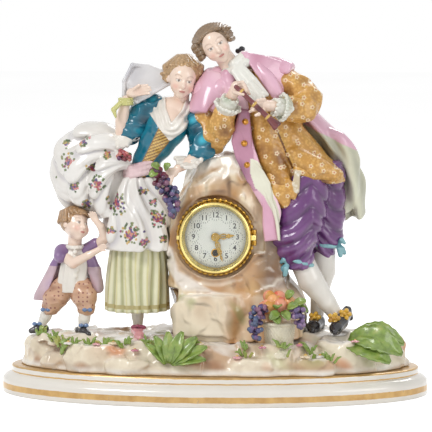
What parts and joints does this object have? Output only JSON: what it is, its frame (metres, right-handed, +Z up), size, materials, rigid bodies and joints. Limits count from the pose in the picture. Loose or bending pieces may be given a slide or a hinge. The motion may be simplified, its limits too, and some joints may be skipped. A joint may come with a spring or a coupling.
{
  "type": "figural mantel clock",
  "caption": "Porcelain figural mantel clock: oval plinth, rockwork holding a drum timepiece with hinged bezel, and standing figures with a fruit basket.",
  "frame": {"origin": "under the middle of the plinth, on the surface it stands on", "axes": "+Z up, the dial faces -Y, +X to the right as seen from the front"},
  "size_m": [0.424, 0.19, 0.369],
  "materials": {
    "plinth_glaze": "white glaze with gilt bands",
    "ground_glaze": "glaze washed with brown and green",
    "rock_glaze": "glaze washed with tan and mauve",
    "leaf_glaze": "painted green under a clear glaze",
    "basket_glaze": "cream glaze",
    "fruit_glaze": "painted fruit under a clear glaze",
    "grape_glaze": "painted grapes under a clear glaze",
    "skin_glaze": "pale flesh glaze",
    "hair_glaze": "painted hair under a clear glaze",
    "teal_glaze": "teal lustre glaze",
    "petticoat_glaze": "pale striped glaze",
    "overskirt_glaze": "white glaze with painted flower sprays",
    "hat_glaze": "grey-white glaze",
    "white_glaze": "plain white glaze",
    "pink_glaze": "pink glaze",
    "gold_glaze": "ochre glaze with small flowers",
    "purple_glaze": "purple lustre glaze",
    "black_glaze": "black glaze",
    "flute_glaze": "maroon glaze",
    "tan_glaze": "tan glaze",
    "bezel_brass": "polished, lacquered",
    "plate_brass": "satin",
    "enamel": "white enamel with painted numerals",
    "gilt": "gilt",
    "clear_glass": "clear, domed",
    "steel": "polished"
  },
  "bodies": {
    "group": {"plinth": "plinth_glaze", "ground": "ground_glaze", "rock_case": "rock_glaze", "ground_plants": "leaf_glaze", "fruit_basket": "basket_glaze", "basket_fruit": "fruit_glaze", "basket_grapes": "grape_glaze", "woman_petticoat": "petticoat_glaze", "woman_overskirt": "overskirt_glaze", "woman_bodice": "teal_glaze", "woman_head": "skin_glaze", "woman_hair": "hair_glaze", "woman_sleeves": "teal_glaze", "woman_arms": "skin_glaze", "woman_hat": "hat_glaze", "woman_grapes": "grape_glaze", "woman_leg": "white_glaze", "man_waistcoat": "gold_glaze", "man_breeches": "purple_glaze", "man_stockings": "white_glaze", "man_shoes": "black_glaze", "man_head": "skin_glaze", "man_hair": "hair_glaze", "man_sleeves": "gold_glaze", "man_hands": "skin_glaze", "man_flute": "flute_glaze", "man_coat": "pink_glaze", "boy_shirt": "white_glaze", "boy_breeches": "tan_glaze", "boy_legs": "white_glaze", "boy_head": "skin_glaze", "boy_arms": "white_glaze", "boy_coat": "purple_glaze", "bezel_flange": "bezel_brass", "dial": "enamel", "front_plate": "plate_brass", "back_plate": "plate_brass", "pillars": "plate_brass", "hairspring": "steel", "balance_cock": "plate_brass", "drum_case": "bezel_brass", "rear_ring": "bezel_brass", "pins_and_screws": "steel"},
    "bezel": {"bezel_door": "bezel_brass", "bezel_glass": "clear_glass"},
    "minute": {"cannon_pinion": "steel", "minute_hand": "gilt"},
    "hour": {"hour_wheel": "plate_brass", "hour_hand": "gilt"},
    "minute_work": {"minute_wheel": "plate_brass"},
    "barrel_drum": {"barrel": "plate_brass", "mainspring": "steel"},
    "centre": {"centre_wheel": "plate_brass"},
    "third": {"third_wheel": "plate_brass"},
    "fourth": {"fourth_wheel": "plate_brass"},
    "escape": {"escape_wheel": "plate_brass"},
    "balance": {"balance_wheel": "plate_brass"},
    "winder": {"winding_arbor": "steel"},
    "pawl": {"click": "steel"},
    "cover": {"rear_cover": "bezel_brass"}
  },
  "joints": [
    {"name": "bezel_hinge", "type": "hinge", "parent": "group", "child": "bezel", "pos_m": [0.0416, -0.0426, 0.16], "axis": [0, 0, 1], "range_deg": [0, 95]},
    {"name": "minute_hand_turn", "type": "hinge", "parent": "group", "child": "minute", "pos_m": [0.003, -0.038, 0.16], "axis": [0, 1, 0], "continuous": true},
    {"name": "hour_hand_turn", "type": "hinge", "parent": "group", "child": "hour", "pos_m": [0.003, -0.038, 0.16], "axis": [0, 1, 0], "continuous": true},
    {"name": "minute_wheel_turn", "type": "hinge", "parent": "group", "child": "minute_work", "pos_m": [-0.00324, -0.038, 0.1636], "axis": [0, 1, 0], "continuous": true},
    {"name": "fourth_wheel_turn", "type": "hinge", "parent": "group", "child": "fourth", "pos_m": [0.00308, -0.038, 0.17401], "axis": [0, 1, 0], "continuous": true},
    {"name": "third_wheel_turn", "type": "hinge", "parent": "group", "child": "third", "pos_m": [0.01191, -0.038, 0.16891], "axis": [0, 1, 0], "continuous": true},
    {"name": "centre_wheel_turn", "type": "hinge", "parent": "group", "child": "centre", "pos_m": [0.003, -0.038, 0.16], "axis": [0, 1, 0], "continuous": true},
    {"name": "barrel_turn", "type": "hinge", "parent": "group", "child": "barrel_drum", "pos_m": [0.003, -0.038, 0.1444], "axis": [0, 1, 0], "continuous": true},
    {"name": "escape_wheel_turn", "type": "hinge", "parent": "group", "child": "escape", "pos_m": [-0.00587, -0.038, 0.17075], "axis": [0, 1, 0], "continuous": true},
    {"name": "balance_swing", "type": "hinge", "parent": "group", "child": "balance", "pos_m": [-0.01179, -0.038, 0.17291], "axis": [0, 1, 0], "range_deg": [-135, 135], "stiffness_Nm_per_rad": 0.000014},
    {"name": "winding_turn", "type": "hinge", "parent": "group", "child": "winder", "pos_m": [0.003, -0.038, 0.1444], "axis": [0, 1, 0], "continuous": true},
    {"name": "click_lift", "type": "hinge", "parent": "group", "child": "pawl", "pos_m": [0.00057, -0.038, 0.15348], "axis": [0, -1, 0], "range_deg": [0, 8], "stiffness_Nm_per_rad": 0.002},
    {"name": "rear_cover_hinge", "type": "hinge", "parent": "group", "child": "cover", "pos_m": [0.0394, 0.0286, 0.16], "axis": [0, 0, -1], "range_deg": [0, 100]}
  ],
  "couplings": [
    {"joint": "minute_wheel_turn", "follows": "minute_hand_turn", "ratio": -0.33333},
    {"joint": "hour_hand_turn", "follows": "minute_hand_turn", "ratio": 0.083333},
    {"joint": "third_wheel_turn", "follows": "fourth_wheel_turn", "ratio": -0.13333},
    {"joint": "centre_wheel_turn", "follows": "fourth_wheel_turn", "ratio": 0.016667},
    {"joint": "barrel_turn", "follows": "fourth_wheel_turn", "ratio": -0.0018519},
    {"joint": "escape_wheel_turn", "follows": "fourth_wheel_turn", "ratio": -7.5}
  ]
}
